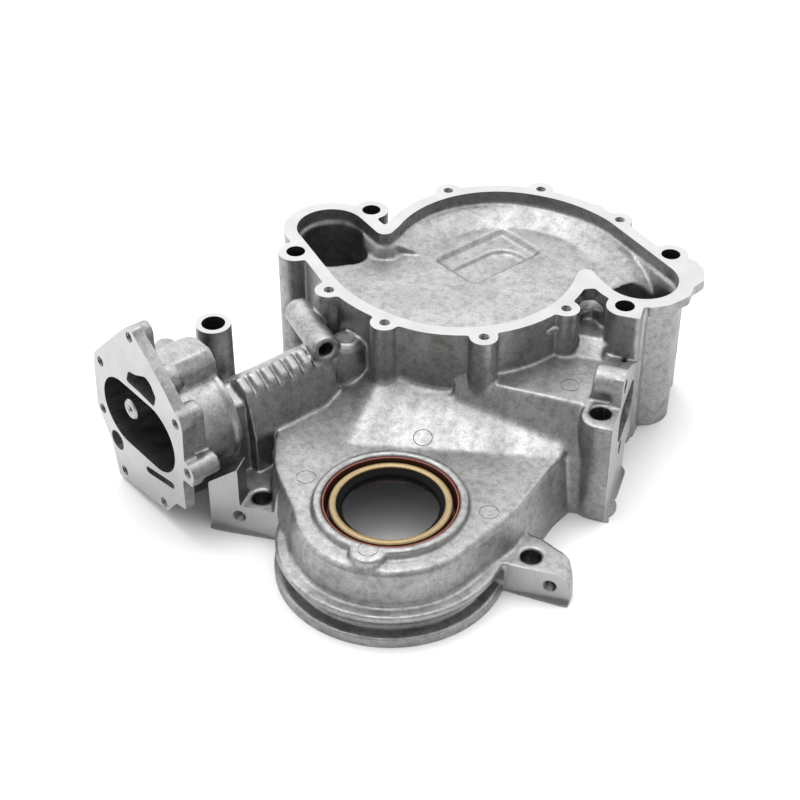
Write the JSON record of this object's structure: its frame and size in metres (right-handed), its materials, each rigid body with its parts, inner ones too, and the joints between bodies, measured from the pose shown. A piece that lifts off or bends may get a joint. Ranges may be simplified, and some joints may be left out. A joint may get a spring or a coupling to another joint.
{
  "type": "timing cover",
  "caption": "Cast aluminium front timing cover with a water pump pocket, crank seal, oil pump body and fuel pump face.",
  "frame": {"origin": "where the crank axis crosses the gasket face", "axes": "+X to the right seen from the front of the engine's picture side, +Y up the engine, +Z out of the gasket face towards the front"},
  "size_m": [0.2859, 0.3057, 0.1109],
  "materials": {
    "casting": "as-cast with milled faces",
    "seal_case": "dark lacquer with a red edge",
    "seal_ring": "gold passivated",
    "seal_rubber": "matt black",
    "spring_steel": "bright wire",
    "pin_steel": "ground"
  },
  "bodies": {
    "root": {"cover_casting": "casting", "seal_outer_case": "seal_case", "seal_inner_case": "seal_ring", "seal_lip": "seal_rubber", "seal_garter_spring": "spring_steel", "pump_idler_shaft": "pin_steel"}
  },
  "joints": []
}
